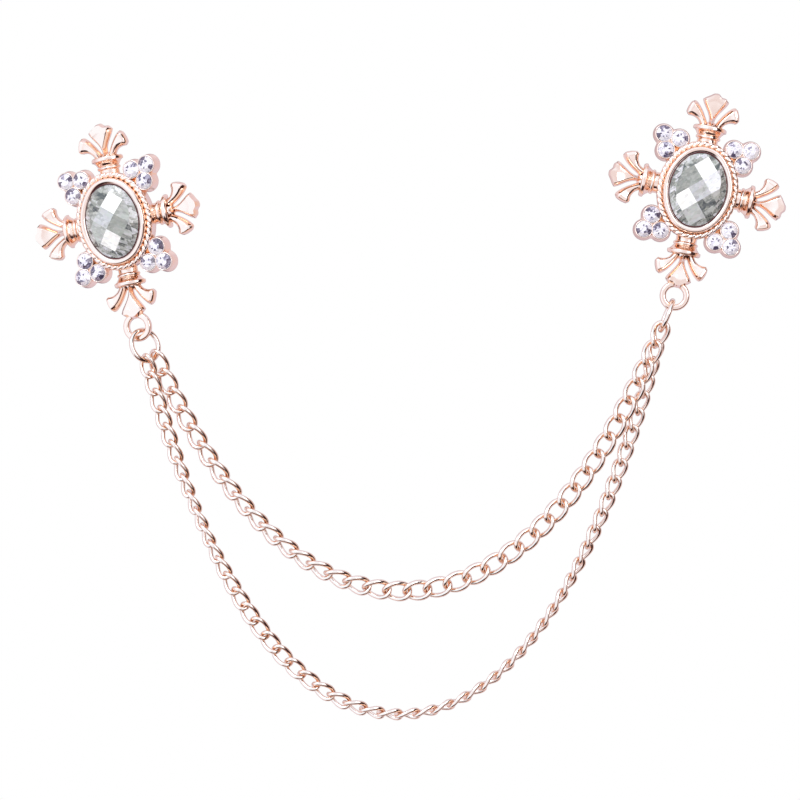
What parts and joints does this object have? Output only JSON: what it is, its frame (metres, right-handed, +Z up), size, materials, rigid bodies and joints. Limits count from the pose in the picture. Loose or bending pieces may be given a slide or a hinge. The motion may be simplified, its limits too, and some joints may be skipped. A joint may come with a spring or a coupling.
{
  "type": "lapel chain",
  "caption": "Two cross-shaped brooches with an oval crystal, joined by an upper and a lower curb chain that hang between them.",
  "frame": {"origin": "middle of the left brooch's flat back, where its pin goes through the cloth", "axes": "+X from the left brooch to the right one, +Z up, the front faces -Y"},
  "size_m": [0.1515, 0.0155, 0.126],
  "materials": {
    "cast_metal": "polished rose gold plate on cast alloy",
    "ring_metal": "polished rose gold plate on wire",
    "chain_metal": "polished pale rose gold plate on wire",
    "pin_metal": "plain steel",
    "centre_crystal": "foil-backed pale grey-green cut crystal",
    "rhinestone": "foil-backed clear cut crystal"
  },
  "bodies": {
    "root": {"left_setting": "cast_metal", "left_pin": "pin_metal", "left_centre_stone": "centre_crystal", "left_jump_ring": "ring_metal", "right_setting": "cast_metal", "right_pin": "pin_metal", "right_centre_stone": "centre_crystal", "right_jump_ring": "ring_metal", "left_rhinestone_1": "rhinestone", "left_rhinestone_2": "rhinestone", "left_rhinestone_3": "rhinestone", "left_rhinestone_4": "rhinestone", "left_rhinestone_5": "rhinestone", "left_rhinestone_6": "rhinestone", "left_rhinestone_7": "rhinestone", "left_rhinestone_8": "rhinestone", "left_rhinestone_9": "rhinestone", "left_rhinestone_10": "rhinestone", "left_rhinestone_11": "rhinestone", "left_rhinestone_12": "rhinestone", "right_rhinestone_1": "rhinestone", "right_rhinestone_2": "rhinestone", "right_rhinestone_3": "rhinestone", "right_rhinestone_4": "rhinestone", "right_rhinestone_5": "rhinestone", "right_rhinestone_6": "rhinestone", "right_rhinestone_7": "rhinestone", "right_rhinestone_8": "rhinestone", "right_rhinestone_9": "rhinestone", "right_rhinestone_10": "rhinestone", "right_rhinestone_11": "rhinestone", "right_rhinestone_12": "rhinestone", "upper_chain": "chain_metal", "lower_chain": "chain_metal"}
  },
  "joints": []
}
